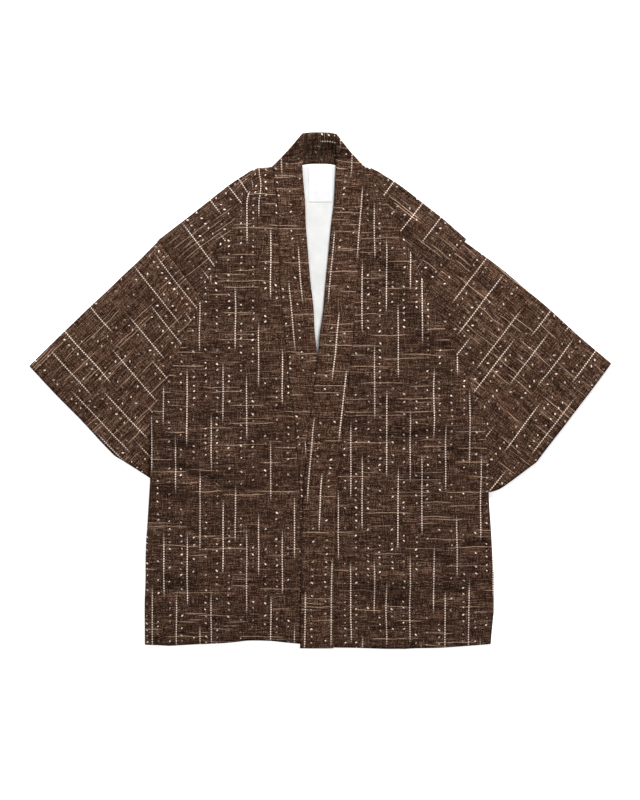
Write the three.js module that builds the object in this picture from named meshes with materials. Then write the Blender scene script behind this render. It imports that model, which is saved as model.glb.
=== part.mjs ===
// Woven kimono jacket, laid flat on its back with both sleeves brought down beside the body.
// Millimetres, +Z up. The origin is on the surface that it lies on, in the middle of its outline.
// +Y points to the collar. Left and right are the wearer's, so the wearer's left is at +X.
// Each side is described in its own frame: "out" from the centre line, "up" the garment.

import * as THREE from 'three';

// Cloth and layers
const CLOTH = 1.2;
const BAND = 2.5;
const LINING = 1.0;
const LABEL = 0.8;
const GAP = 0.3;
const LAYER = CLOTH + GAP;
const BAND_LAYER = BAND + GAP;

// Body
const NECK_UP = 375;
const HEM_UP = -420;
const BACK_HEM_SHORTER = 3;
const SHOULDER_ROUND = 5;
const NECK_TO_CREASE = 80;
const FRONT_NECK_DROP = 2;
const BACK_NECK_DROP = 0.9;
const NECK_CURVE = { from: 8, to: 34 };

// Collar band
const BAND_WIDTH = 50;

// Sleeve
const CUFF = 205;
const SLEEVE_CORNER = 50;
const CLEAR_OF_TUCK = 1.2;

// Tuck that takes the body over the top of the sleeve
const TUCK_FULL_HEIGHT_AT = 38;
const TUCK_STARTS_AT = 20;
const TUCK_FULL_WIDTH_AT = 60;
const EASED_FROM = -30;
const SHOULDER_ANGLE = 91;
const TIGHTEST_TURN_AT = 12;

// How far the cloth eases down past what lies under it
const LOWER_EASE = { reach: 10, ease: 60 };
const UPPER_EASE = { reach: 30, ease: 110 };
const COLLAR_EASE = 60;

// Lining and label
const LINING_TOP_HALF = 60;
const LINING_LOW_HALF = 40;
const LINING_LOW_UP = 45;
const LABEL_WIDTH = 38;
const LABEL_TOP_UP = 370;
const LABEL_HEIGHT = 58;

const degrees = THREE.MathUtils.degToRad;
const { lerp, smoothstep } = THREE.MathUtils;

// The wearer's right, at -X. Its band and front pass under the other side's.
const right = {
  mirror: -1,
  pivot: { out: 104, up: 368 },
  creaseEnd: { out: 277, up: -40 },
  turn: degrees(37),
  neckCorner: { out: 79, up: 370.5 },
  shoulderFalls: 2,
  edge: [
    { up: 372, out: 308 },
    { up: 140, out: 306 },
    { up: -40, out: 277 },
    { up: -150, out: 279.5 },
    { up: -245, out: 286 },
    { up: -341, out: 289 },
    { up: -430, out: 289 },
  ],
  hem: [
    { out: -30, up: -413 },
    { out: 60, up: -412 },
    { out: 120, up: -411 },
    { out: 190, up: -417 },
    { out: 250, up: -420 },
    { out: 290, up: -417 },
  ],
  band: [
    { up: 370.5, outer: 79, inner: 29 },
    { up: 293, outer: 70, inner: 24 },
    { up: 212, outer: 67, inner: 18 },
    { up: 159, outer: 64.5, inner: 13 },
    { up: 111, outer: 60, inner: 9.5 },
    { up: 60, outer: 55.5, inner: 4 },
    { up: 9, outer: 51, inner: 0.5 },
    { up: -50, outer: 42.5, inner: -8 },
    { up: -138, outer: 35, inner: -15.5 },
    { up: -278, outer: 32, inner: -19.5 },
    { up: -420, outer: 31.5, inner: -20.5 },
  ],
  bandRest: [
    { up: 375, rise: BAND_LAYER },
    { up: 38, rise: BAND_LAYER },
    { up: -30, rise: LAYER },
    { up: -420, rise: LAYER },
  ],
  bandEnd: -417,
  sleeve: {
    tip: { out: 480, up: 42 },
    cuffFall: degrees(46),
    innerDepth: 250,
    outerDepth: 320,
    slant: degrees(14.5),
    drop: 2,
    bow: 0,
  },
};

// The wearer's left, at +X. Its band lies on the other one below the neck opening.
const left = {
  mirror: 1,
  pivot: { out: 86, up: 368 },
  creaseEnd: { out: 269, up: -40 },
  turn: degrees(38),
  neckCorner: { out: 76.7, up: 368 },
  shoulderFalls: 1,
  edge: [
    { up: 367, out: 281 },
    { up: 160, out: 280 },
    { up: -40, out: 269 },
    { up: -150, out: 277 },
    { up: -220, out: 280.5 },
    { up: -300, out: 285.5 },
    { up: -364, out: 285.5 },
    { up: -430, out: 281 },
  ],
  hem: [
    { out: 20, up: -421 },
    { out: 75, up: -423 },
    { out: 140, up: -425 },
    { out: 207, up: -421.5 },
    { out: 255, up: -418 },
    { out: 283, up: -416.5 },
  ],
  band: [
    { up: 368, outer: 76.7, inner: 26.7 },
    { up: 304, outer: 72, inner: 22 },
    { up: 182, outer: 61, inner: 10 },
    { up: 101, outer: 55, inner: 1 },
    { up: 60, outer: 52, inner: -2.5 },
    { up: 7, outer: 45, inner: -9.5 },
    { up: -63, outer: 37, inner: -19.5 },
    { up: -118, outer: 32, inner: -23.5 },
    { up: -166, outer: 27, inner: -27.5 },
    { up: -278, outer: 24, inner: -30.5 },
    { up: -430, outer: 21.5, inner: -33 },
  ],
  bandRest: [
    { up: 375, rise: BAND_LAYER },
    { up: 175, rise: BAND_LAYER },
    { up: 80, rise: 2 * BAND_LAYER },
    { up: 38, rise: 2 * BAND_LAYER },
    { up: -30, rise: LAYER + BAND_LAYER },
    { up: -430, rise: LAYER + BAND_LAYER },
  ],
  bandEnd: -422.5,
  sleeve: {
    tip: { out: 480, up: 47 },
    cuffFall: degrees(53),
    innerDepth: 225,
    outerDepth: 320,
    slant: degrees(16.8),
    drop: 0.5,
    bow: 4.5,
  },
};

// Reads a column of a table between its rows, straight or eased.
function readTable(rows, key, column, at, eased = false) {
  const rising = rows[1][key] > rows[0][key];
  let i = 0;
  while (i < rows.length - 2 && (rising ? at > rows[i + 1][key] : at < rows[i + 1][key])) i += 1;
  const share = THREE.MathUtils.clamp((at - rows[i][key]) / (rows[i + 1][key] - rows[i][key]), 0, 1);
  return lerp(rows[i][column], rows[i + 1][column], eased ? smoothstep(share, 0, 1) : share);
}

// 1 over a convex outline and out to `reach` past it, easing to 0 over `ease` more.
function cover(point, outline, { reach, ease }) {
  let outside = -Infinity;
  outline.forEach((a, i) => {
    const b = outline[(i + 1) % outline.length];
    const length = Math.hypot(b.out - a.out, b.up - a.up);
    const across = ((b.up - a.up) * (point.out - a.out) - (b.out - a.out) * (point.up - a.up)) / length;
    outside = Math.max(outside, across);
  });
  return 1 - smoothstep(outside, reach, reach + ease);
}

// Cloth turned right over an edge. `past` is how far past the edge it was cut to reach.
function turnOver(past, layer) {
  const radius = layer / 2;
  const half = (Math.PI * radius) / 2;
  if (past <= -half) return { reach: past, under: 0 };
  if (past >= half) return { reach: -past, under: 1 };
  const around = (past + half) / radius;
  return { reach: -half + radius * Math.sin(around), under: (1 - Math.cos(around)) / 2 };
}

const TURN_HALF = (Math.PI * LAYER) / 4;
const BAND_TURN_HALF = (Math.PI * BAND_LAYER) / 4;

// Angles about the tuck's pivot start straight down the garment and grow outwards.
function tuckAngles(side) {
  const { pivot, creaseEnd } = side;
  const first = Math.atan2(creaseEnd.out - pivot.out, pivot.up - creaseEnd.up);
  return { first, second: first + side.turn / 2 };
}

function fromPivot(side, along, across, angle) {
  return {
    out: side.pivot.out + along * Math.sin(angle) + across * Math.cos(angle),
    up: side.pivot.up - along * Math.cos(angle) + across * Math.sin(angle),
  };
}

// Takes a point of the flat cut to its place in the laid jacket. `under` counts the folds: 0 on the
// body, 1 inside the tuck, 2 on the part that runs out to the sleeve.
function layBody(side, cut) {
  const dOut = cut.out - side.pivot.out;
  const dUp = cut.up - side.pivot.up;
  const radius = Math.hypot(dOut, dUp);
  const angle = Math.atan2(dOut, -dUp);
  const { first, second } = tuckAngles(side);

  let folded;
  let under;
  if (angle < (first + second) / 2) {
    const fold = turnOver(radius * Math.sin(angle - first), LAYER);
    folded = fromPivot(side, radius * Math.cos(angle - first), fold.reach, first);
    under = fold.under;
  } else {
    const fold = turnOver(radius * Math.sin(angle - second), LAYER);
    folded = fromPivot(side, radius * Math.cos(angle - second), -fold.reach, 2 * first - second);
    under = 1 + fold.under;
  }

  const easedFrom = degrees(EASED_FROM);
  const easedTo = degrees(SHOULDER_ANGLE);
  const squeeze = (easedTo - side.turn - easedFrom) / (easedTo - easedFrom);
  const easedAngle = angle < easedFrom ? angle : easedFrom + (angle - easedFrom) * squeeze;
  const eased = fromPivot(side, radius, 0, easedAngle);
  const share = smoothstep(radius, TUCK_STARTS_AT, TUCK_FULL_WIDTH_AT);
  return {
    out: lerp(eased.out, folded.out, share),
    up: lerp(eased.up, folded.up, share),
    under,
    full: smoothstep(radius, 0, TUCK_FULL_HEIGHT_AT),
  };
}

// Where the sleeve is sewn on, and the outlines of what lies hidden under the front
function outlines(side) {
  const armholeTop = layBody(side, side.edge[0]);
  const armholeEnd = layBody(side, side.edge[1]);
  const seamRun = armholeTop.out - armholeEnd.out - CLEAR_OF_TUCK;
  const seam = Math.atan2(armholeTop.up - armholeEnd.up, seamRun);
  const { tip, cuffFall, innerDepth, outerDepth, drop } = side.sleeve;
  const below = (from, angle, depth) => ({
    out: from.out - depth * Math.cos(angle),
    up: from.up - depth * Math.sin(angle),
  });
  const sleeveInner = (depth) => below(below(armholeTop, seam, drop), seam, depth);
  const sleeveOuter = (depth) => below(tip, cuffFall, depth);
  const hemCorner = { out: side.edge.at(-1).out, up: side.edge.at(-1).up };
  return {
    seam,
    sleeveInner,
    sleeveOuter,
    body: [side.pivot, { out: 0, up: 400 }, { out: 0, up: hemCorner.up }, hemCorner, side.creaseEnd],
    tuck: [side.pivot, armholeEnd, side.creaseEnd],
    shoulderAndSleeve: [side.pivot, sleeveInner(innerDepth), sleeveOuter(outerDepth), tip, armholeTop],
  };
}

// Neck seam, which dips from the middle of the back to the corner where the band turns over
function neckDip(side, out) {
  return (NECK_UP - side.neckCorner.up) * smoothstep(out, NECK_CURVE.from, NECK_CURVE.to);
}

// Rise of a band, and of a front edge sewn to it
const bandRest = (side, up) => readTable(side.bandRest, 'up', 'rise', up, true);

function edgeLift(side, point) {
  const fromBand = point.out - readTable(side.band, 'up', 'outer', point.up);
  return (bandRest(side, point.up) - LAYER) * (1 - smoothstep(fromBand, 0, COLLAR_EASE));
}

// Middle of the cloth wall of a body panel, at a point of its flat cut
function panelSurface(side, isFront) {
  const { body, tuck, shoulderAndSleeve } = outlines(side);
  return (out, up) => {
    const laid = layBody(side, { out, up });
    const overBack = laid.full * cover(laid, body, LOWER_EASE);
    let layers;
    if (!isFront) {
      layers = laid.under * overBack;
    } else if (laid.under > 0) {
      layers = 1 + 2 * overBack + (2 - laid.under) * laid.full;
    } else {
      const hidden = cover(laid, shoulderAndSleeve, UPPER_EASE) + cover(laid, tuck, UPPER_EASE);
      layers = 1 + 2 * laid.full * hidden;
    }
    const lift = isFront ? edgeLift(side, laid) : 0;
    return new THREE.Vector3(side.mirror * laid.out, laid.up, CLOTH / 2 + LAYER * layers + lift);
  };
}

// Scales share * (1 - share) ** 2 to a height of 1
const BOW_SCALE = 6.75;

function sleeveSurface(side) {
  const { body, tuck, seam, sleeveInner, sleeveOuter } = outlines(side);
  const length = sleeveLength(side);
  return (along, depth) => {
    const fold = turnOver(depth, LAYER);
    const share = along / length;
    const bow = side.sleeve.bow * BOW_SCALE * share * (1 - share) ** 2;
    const down = -fold.reach - bow * (1 - smoothstep(-fold.reach, 0, CUFF));
    const inner = sleeveInner(down);
    const outer = sleeveOuter(down);
    const laid = {
      out: lerp(inner.out + GAP * Math.sin(seam), outer.out, share),
      up: lerp(inner.up - GAP * Math.cos(seam), outer.up, share),
    };
    const layers = cover(laid, body, LOWER_EASE) + cover(laid, tuck, LOWER_EASE) + 1 - fold.under;
    return new THREE.Vector3(side.mirror * laid.out, laid.up, CLOTH / 2 + LAYER * layers);
  };
}

function sleeveLength(side) {
  const { sleeveInner } = outlines(side);
  const start = sleeveInner(0);
  return Math.hypot(side.sleeve.tip.out - start.out, side.sleeve.tip.up - start.up);
}

// The band runs out from the middle of the neck, turns over a slanted edge and comes down the front.
function bandSurface(side) {
  const { neckCorner } = side;
  const corner = neckCorner.out;
  return (along, width) => {
    const fold = turnOver((along - corner + width) * Math.SQRT1_2, BAND_LAYER);
    const edgewise = (along - corner - width) * Math.SQRT1_2;
    let out = corner + (edgewise + fold.reach) * Math.SQRT1_2;
    const rise = (fold.reach - edgewise) * Math.SQRT1_2;
    let up = neckCorner.up + rise;
    if (rise < 0) {
      const outer = readTable(side.band, 'up', 'outer', up);
      const inner = readTable(side.band, 'up', 'inner', up);
      out = lerp(outer, inner, width / BAND_WIDTH);
    } else {
      up += NECK_UP - neckCorner.up - neckDip(side, out);
    }
    const height = BAND / 2 + fold.under * bandRest(side, up);
    return new THREE.Vector3(side.mirror * out, up, height);
  };
}

// Wall of cloth on a surface. `points` are points of the flat cut, `faces` join them in rings of 3 or 4.
function clothGeometry(surface, points, faces, wall) {
  const STEP = 0.02;
  const middle = points.map(([a, b]) => surface(a, b));
  const normals = points.map(([a, b]) => {
    const alongA = surface(a + STEP, b).sub(surface(a - STEP, b));
    const alongB = surface(a, b + STEP).sub(surface(a, b - STEP));
    return alongA.cross(alongB).normalize();
  });
  const count = points.length;
  const positions = [];
  for (const half of [wall / 2, -wall / 2]) {
    middle.forEach((point, i) => positions.push(...point.clone().addScaledVector(normals[i], half).toArray()));
  }

  const triangles = [];
  for (const face of faces) {
    if (face.length === 3) {
      triangles.push(face);
      continue;
    }
    const [a, b, c, d] = face;
    const cutAC = middle[a].distanceTo(middle[c]) <= middle[b].distanceTo(middle[d]);
    triangles.push(...(cutAC ? [[a, b, c], [a, c, d]] : [[a, b, d], [b, c, d]]));
  }

  const edges = new Set(triangles.flatMap(([a, b, c]) => [`${a} ${b}`, `${b} ${c}`, `${c} ${a}`]));
  const index = [];
  for (const [a, b, c] of triangles) {
    index.push(a, b, c, count + c, count + b, count + a);
    for (const [from, to] of [[a, b], [b, c], [c, a]]) {
      if (edges.has(`${to} ${from}`)) continue;
      index.push(to, from, count + from, to, count + from, count + to);
    }
  }

  let volume = 0;
  const corner = (i) => new THREE.Vector3().fromArray(positions, 3 * i);
  for (let i = 0; i < index.length; i += 3) {
    volume += corner(index[i]).dot(corner(index[i + 1]).cross(corner(index[i + 2])));
  }
  if (volume < 0) index.reverse();

  const geometry = new THREE.BufferGeometry();
  geometry.setAttribute('position', new THREE.Float32BufferAttribute(positions, 3));
  geometry.setIndex(index);
  geometry.computeVertexNormals();
  return geometry;
}

// Faces of a plain grid of points, row after row
function gridFaces(rows, columns) {
  const faces = [];
  for (let i = 0; i < rows - 1; i += 1) {
    for (let j = 0; j < columns - 1; j += 1) {
      const a = i * columns + j;
      faces.push([a, a + 1, a + columns + 1, a + columns]);
    }
  }
  return faces;
}

// Distance from the pivot to the edge of the cut, at an angle
function toEdge(side, angle) {
  const { pivot, edge } = side;
  for (let i = 0; i < edge.length - 1; i += 1) {
    const a = { x: edge[i].out - pivot.out, y: edge[i].up - pivot.up };
    const b = { x: edge[i + 1].out - pivot.out, y: edge[i + 1].up - pivot.up };
    const ray = { x: Math.sin(angle), y: -Math.cos(angle) };
    const sideA = ray.x * a.y - ray.y * a.x;
    const sideB = ray.x * b.y - ray.y * b.x;
    if (sideA >= 0 && sideB <= 0) {
      const share = sideA / (sideA - sideB);
      return Math.hypot(lerp(a.x, b.x, share), lerp(a.y, b.y, share));
    }
  }
  return Math.hypot(edge[0].out - pivot.out, edge[0].up - pivot.up);
}

// Rows of a body panel below the crease, as shares of its length, closer near the crease
const BODY_ROWS = [0, 0.09, 0.19, 0.29, 0.39, 0.48, 0.57, 0.65, 0.73, 0.8, 0.86, 0.91, 0.95, 0.98];
const INNER_COLUMNS = 3;
const NEAR_PIVOT = [10, 20, 30, 42, 60];
const FAR_COLUMNS = 5;
const KNEE_HEM_OUT = 130;
const SHOULDER_ROWS = [0.25, 0.5, 0.75, 1];

// Height of a row at the band, the same on the front and on the band beside it
const rowUp = (share) => lerp(HEM_UP, NECK_UP, share);

// Points and faces of a body panel's flat cut: rows across the body up to the crease, then rows
// that fan about the pivot to the shoulder.
function panelCut(side, innerOut, neckDrop, hemShorter) {
  const neckLine = (out) => NECK_UP - neckDrop - neckDip(side, out);
  const { first, second } = tuckAngles(side);
  const columns = NEAR_PIVOT.length + FAR_COLUMNS;
  const radiusAt = (column, length) => {
    if (column <= NEAR_PIVOT.length) return column === 0 ? 0 : NEAR_PIVOT[column - 1];
    return lerp(NEAR_PIVOT.at(-1), length, (column - NEAR_PIVOT.length) / FAR_COLUMNS);
  };
  const hemUp = (out) => readTable(side.hem, 'out', 'up', out) + hemShorter;
  const points = [];

  // Body rows, each from the centre or the band out to the side
  const creaseLength = toEdge(side, first);
  const knee = { out: KNEE_HEM_OUT, up: hemUp(KNEE_HEM_OUT) };
  for (const share of BODY_ROWS) {
    const innerUp = rowUp(share);
    const inner = { out: innerOut(innerUp), up: innerUp };
    const middle = { out: lerp(knee.out, side.pivot.out, share), up: lerp(knee.up, side.pivot.up, share) };
    const outerUp = lerp(hemUp(side.hem.at(-1).out), side.creaseEnd.up, share);
    const outer = { out: readTable(side.edge, 'up', 'out', outerUp), up: outerUp };
    for (let c = 0; c <= INNER_COLUMNS; c += 1) {
      const across = c / INNER_COLUMNS;
      points.push([lerp(inner.out, middle.out, across), lerp(inner.up, middle.up, across)]);
    }
    for (let c = 1; c <= columns; c += 1) {
      const across = lerp(c / columns, radiusAt(c, creaseLength) / creaseLength, share);
      points.push([lerp(middle.out, outer.out, across), lerp(middle.up, outer.up, across)]);
    }
  }
  for (let c = 0; c <= INNER_COLUMNS + columns; c += 1) points[c][1] = hemUp(points[c][0]);

  // Neck and shoulder edge as far as the pivot, where the rows of the fan start
  const { pivot } = side;
  const innerTop = innerOut(NECK_UP);
  for (let c = 0; c <= INNER_COLUMNS; c += 1) {
    const out = lerp(innerTop, pivot.out, c / INNER_COLUMNS);
    points.push([out, lerp(neckLine(out), pivot.up, smoothstep(out, NECK_TO_CREASE, pivot.out))]);
  }
  const pivotIndex = points.length - 1;

  // Rows of the fan, each a turn's offset from a crease or a share of the way to the shoulder
  const roundAt = (share) => Math.sqrt(share) * (1 - share) ** side.shoulderFalls;
  const roundest = roundAt(1 / (1 + 2 * side.shoulderFalls));
  const shoulder = (radius, length) => {
    const round = (SHOULDER_ROUND * roundAt(radius / length)) / roundest;
    return degrees(SHOULDER_ANGLE) + round / Math.max(radius, TIGHTEST_TURN_AT);
  };
  const offset = (crease, past) => (radius) => crease + past / Math.max(radius, TIGHTEST_TURN_AT);
  const fan = [
    offset(first, -TURN_HALF),
    offset(first, 0),
    offset(first, TURN_HALF),
    () => (first + second) / 2,
    offset(second, -TURN_HALF),
    offset(second, 0),
    offset(second, TURN_HALF),
    ...SHOULDER_ROWS.map((share) => (radius, length) => lerp(second, shoulder(radius, length), share)),
  ];
  for (const angleAt of fan) {
    const length = toEdge(side, angleAt(creaseLength, creaseLength));
    for (let c = 1; c <= columns; c += 1) {
      const radius = radiusAt(c, length);
      const angle = angleAt(radius, length);
      points.push([pivot.out + radius * Math.sin(angle), pivot.up - radius * Math.cos(angle)]);
    }
  }

  const width = INNER_COLUMNS + 1 + columns;
  const faces = gridFaces(BODY_ROWS.length + 1, width);
  const fanPoint = (row, column) => (column === 0 ? pivotIndex : pivotIndex + row * columns + column);
  for (let row = 0; row < fan.length - 1; row += 1) {
    faces.push([pivotIndex, fanPoint(row, 1), fanPoint(row + 1, 1)]);
    for (let c = 1; c < columns; c += 1) {
      faces.push([fanPoint(row, c), fanPoint(row, c + 1), fanPoint(row + 1, c + 1), fanPoint(row + 1, c)]);
    }
  }
  return { points, faces };
}

const SLEEVE_ROWS = [0.08, 0.18, 0.3, 0.42, 0.54, 0.66, 0.77, 0.86, 0.93, 1];
const SLEEVE_COLUMNS = 10;

// Flat cut of a sleeve, from the lower edge of its back over the folded top to that of its front
function sleeveCut(side) {
  const { innerDepth, outerDepth, slant } = side.sleeve;
  const length = sleeveLength(side);
  const halves = [...SLEEVE_ROWS].reverse().map((share) => -share);
  const rows = [...halves, -TURN_HALF / outerDepth, 0, TURN_HALF / outerDepth, ...SLEEVE_ROWS];
  const points = [];
  for (const row of rows) {
    const down = Math.abs(row) * outerDepth;
    let reach = length - Math.max(0, down - CUFF) * Math.tan(slant);
    const intoCorner = Math.max(0, down - (outerDepth - SLEEVE_CORNER));
    reach -= SLEEVE_CORNER - Math.sqrt(SLEEVE_CORNER ** 2 - intoCorner ** 2);
    for (let c = 0; c <= SLEEVE_COLUMNS; c += 1) {
      const share = c / SLEEVE_COLUMNS;
      const depth = Math.abs(row) < SLEEVE_ROWS[0] ? outerDepth : lerp(innerDepth, outerDepth, share);
      points.push([share * reach, row * depth]);
    }
  }
  return { points, faces: gridFaces(rows.length, SLEEVE_COLUMNS + 1) };
}

const BAND_COLUMNS = 3;
const NECK_ROWS = 14;

function bandCut(side) {
  const { neckCorner } = side;
  const corner = neckCorner.out;
  const end = corner + neckCorner.up - side.bandEnd;
  const turns = [-BAND_TURN_HALF, -BAND_TURN_HALF / 2, 0, BAND_TURN_HALF / 2, BAND_TURN_HALF];
  const rows = [];
  for (let i = 0; i < NECK_ROWS; i += 1) rows.push((width) => lerp(GAP / 2, corner - width, i / NECK_ROWS));
  for (const past of turns) rows.push((width) => corner - width + past * Math.SQRT2);
  for (const share of BODY_ROWS.slice(1).reverse()) rows.push(() => corner + neckCorner.up - rowUp(share));
  rows.push(() => end);
  const points = [];
  for (const row of rows) {
    for (let c = 0; c <= BAND_COLUMNS; c += 1) {
      const width = (c / BAND_COLUMNS) * BAND_WIDTH;
      points.push([row(width), width]);
    }
  }
  return { points, faces: gridFaces(rows.length, BAND_COLUMNS + 1) };
}

// Flat patch with straight sides, narrower or not at its foot. Its top follows a line.
function patchCut(topLine, lowUp, topHalf, lowHalf, rows, columns) {
  const points = [];
  for (let i = 0; i <= rows; i += 1) {
    const half = lerp(lowHalf, topHalf, i / rows);
    for (let c = 0; c <= columns; c += 1) {
      const x = lerp(-half, half, c / columns);
      points.push([x, lerp(lowUp, topLine(x), i / rows)]);
    }
  }
  return { points, faces: gridFaces(rows + 1, columns + 1) };
}

const brownWeave = new THREE.MeshStandardMaterial({ color: 0x4d3a2e, roughness: 0.95, metalness: 0 });
const whiteLining = new THREE.MeshStandardMaterial({ color: 0xf1efec, roughness: 0.85, metalness: 0 });
const whiteTape = new THREE.MeshStandardMaterial({ color: 0xf7f6f4, roughness: 0.7, metalness: 0 });

const jacket = new THREE.Group();

function addCloth(name, surface, { points, faces }, wall, material) {
  const mesh = new THREE.Mesh(clothGeometry(surface, points, faces, wall), material);
  mesh.name = name;
  jacket.add(mesh);
}

for (const [name, side] of Object.entries({ right, left })) {
  const bandEdge = (up) => readTable(side.band, 'up', 'outer', up) + GAP;
  const backCut = panelCut(side, () => GAP / 2, BACK_NECK_DROP, BACK_HEM_SHORTER);
  const frontCut = panelCut(side, bandEdge, FRONT_NECK_DROP, 0);
  addCloth(`back_${name}`, panelSurface(side, false), backCut, CLOTH, brownWeave);
  addCloth(`front_${name}`, panelSurface(side, true), frontCut, CLOTH, brownWeave);
  addCloth(`sleeve_${name}`, sleeveSurface(side), sleeveCut(side), CLOTH, brownWeave);
  addCloth(`collar_${name}`, bandSurface(side), bandCut(side), BAND, brownWeave);
}

const liningTop = (x) => NECK_UP - GAP - neckDip(x < 0 ? right : left, Math.abs(x));
const liningCut = patchCut(liningTop, LINING_LOW_UP, LINING_TOP_HALF, LINING_LOW_HALF, 4, 24);
const onBack = (x, y) => new THREE.Vector3(x, y, LAYER + LINING / 2);
addCloth('back_lining', onBack, liningCut, LINING, whiteLining);

const labelHalf = LABEL_WIDTH / 2;
const labelCut = patchCut(() => LABEL_TOP_UP, LABEL_TOP_UP - LABEL_HEIGHT, labelHalf, labelHalf, 1, 1);
const onLining = (x, y) => new THREE.Vector3(x, y, LAYER + LINING + GAP + LABEL / 2);
addCloth('label', onLining, labelCut, LABEL, whiteTape);

export default jacket;
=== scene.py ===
# A woven kimono jacket laid flat on a pale floor. Metres, +Z up, +Y towards the collar.
# Left and right are the wearer's. Each side is worked out in its own frame: "out" from the centre
# line and "up" the garment. Each cloth is a thin closed shell over its flat cut, whose threads run
# up the cut and across it.

import math

import bpy
import numpy as np
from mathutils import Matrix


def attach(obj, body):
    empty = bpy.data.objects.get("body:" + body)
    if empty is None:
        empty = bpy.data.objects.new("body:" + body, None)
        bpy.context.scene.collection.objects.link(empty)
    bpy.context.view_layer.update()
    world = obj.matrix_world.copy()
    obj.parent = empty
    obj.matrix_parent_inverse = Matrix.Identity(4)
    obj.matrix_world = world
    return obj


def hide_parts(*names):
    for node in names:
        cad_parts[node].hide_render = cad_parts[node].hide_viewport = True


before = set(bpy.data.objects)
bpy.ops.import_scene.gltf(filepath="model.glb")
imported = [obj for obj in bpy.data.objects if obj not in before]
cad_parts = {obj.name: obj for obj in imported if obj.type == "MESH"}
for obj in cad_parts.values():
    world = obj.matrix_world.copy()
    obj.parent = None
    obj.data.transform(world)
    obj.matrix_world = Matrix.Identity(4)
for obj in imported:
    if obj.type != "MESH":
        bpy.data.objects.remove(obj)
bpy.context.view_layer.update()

# Cloth and layers
MM = 0.001
CLOTH = 1.2 * MM
BAND = 2.5 * MM
LINING = 1.0 * MM
GAP = 0.3 * MM
LAYER = CLOTH + GAP
BAND_LAYER = BAND + GAP
TWO_BANDS = 2 * BAND_LAYER
BAND_OVER_CLOTH = LAYER + BAND_LAYER
SHOWN_CLOTH = 1.0 * MM
HEM_CLOTH = 1.7 * MM
HEM_EASES = (0.017, 0.021)

# Body, band and sleeve
NECK_UP = 0.375
HEM_UP = -0.420
SHOULDER_ROUND = 0.005
NECK_TO_CREASE = 0.080
NECK_CURVE = (0.012, 0.050)
OVER_NECK_UP = 0.4
KNEE_OUT = 0.130
BAND_WIDTH = 0.050
CUFF = 0.205
SLEEVE_CORNER = 0.050
SLEEVE_NEAR_FOLD = 0.05

# The sleeve's seam leans out by the first, clear of the tuck, and goes under the front by the second
CLEAR_OF_TUCK = 0.0003
ARMHOLE_LAP = 0.0009

# Tuck that takes the body over the top of the sleeve
TUCK_FULL_HEIGHT_AT = 0.038
TUCK_STARTS_AT = 0.020
TUCK_FULL_WIDTH_AT = 0.060
EASED_FROM = math.radians(-30)
SHOULDER_ANGLE = math.radians(91)
TIGHTEST_TURN_AT = 0.012

# How far the cloth eases down past what lies under it
LOWER_EASE = {"reach": 0.010, "ease": 0.060}
UPPER_EASE = {"reach": 0.030, "ease": 0.110}
COLLAR_EASE = 0.060
TUCK_HIDES = {"reach": 0.004, "ease": 0.020}
BODY_HIDES = {"reach": 0.004, "ease": 0.025}

# Lining and label
LINING_TOP_HALF = 0.060
LINING_LOW_HALF = 0.040
LINING_LOW_UP = 0.045
LABEL_WIDTH = 0.038
LABEL_TOP_UP = 0.370
LABEL_HEIGHT = 0.058
LABEL_TAPE = 0.14 * MM
LABEL_LIES = 0.12 * MM

# Relief that the laid cloth shows
PUFF = 2.9 * MM
PUFF_FROM_EDGE = 0.045
PUFF_VARIES = 0.45
PUFF_CELL = (0.080, 0.060)
SLEEVE_PUFF = 0.8 * PUFF
SLEEVE_PUFF_FROM_FOLD = 0.030
BAND_CROWN = 0.35 * MM
SEAM_EASE = 0.030
NECK_STANDS = 10 * MM
NECK_STANDS_FROM = 0.004
NECK_STANDS_OUT_TO = 0.045
NECK_STANDS_PAST_CORNER = 0.015
LOWEST_RELIEF = -0.25 * MM
EDGE_ROLL = 0.4 * MM
EDGE_ROLL_WIDTH = 0.006
TUCK_RIDGE_INSIDE = 0.025
TUCK_RIDGE_WIDTH = 0.017
THREAD_WANDER = 0.9 * MM
WANDER_CELLS = ((0.060, 0.045), (0.050, 0.070))
CREASE_END = 0.35

# Soft ripples of each kind of piece: height, size across and size along
FRONT_RIPPLES = ((0.385 * MM, 0.045, 0.011), (0.315 * MM, 0.024, 0.020))
SLEEVE_RIPPLES = ((0.3 * MM, 0.060, 0.012), (0.2 * MM, 0.030, 0.030))
BAND_RIPPLES = ((0.35 * MM, 0.060, 0.0085),)
BAND_RIPPLES_FROM_NECK = 0.030

# First seed of the bumps and ripples of each piece, and of the wander that all share
FIRST_SEEDS = dict(front_right=20, front_left=40, sleeve_right=60, sleeve_left=70)
FIRST_SEEDS |= dict(wander=11, collar_right=80, collar_left=90)

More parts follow.
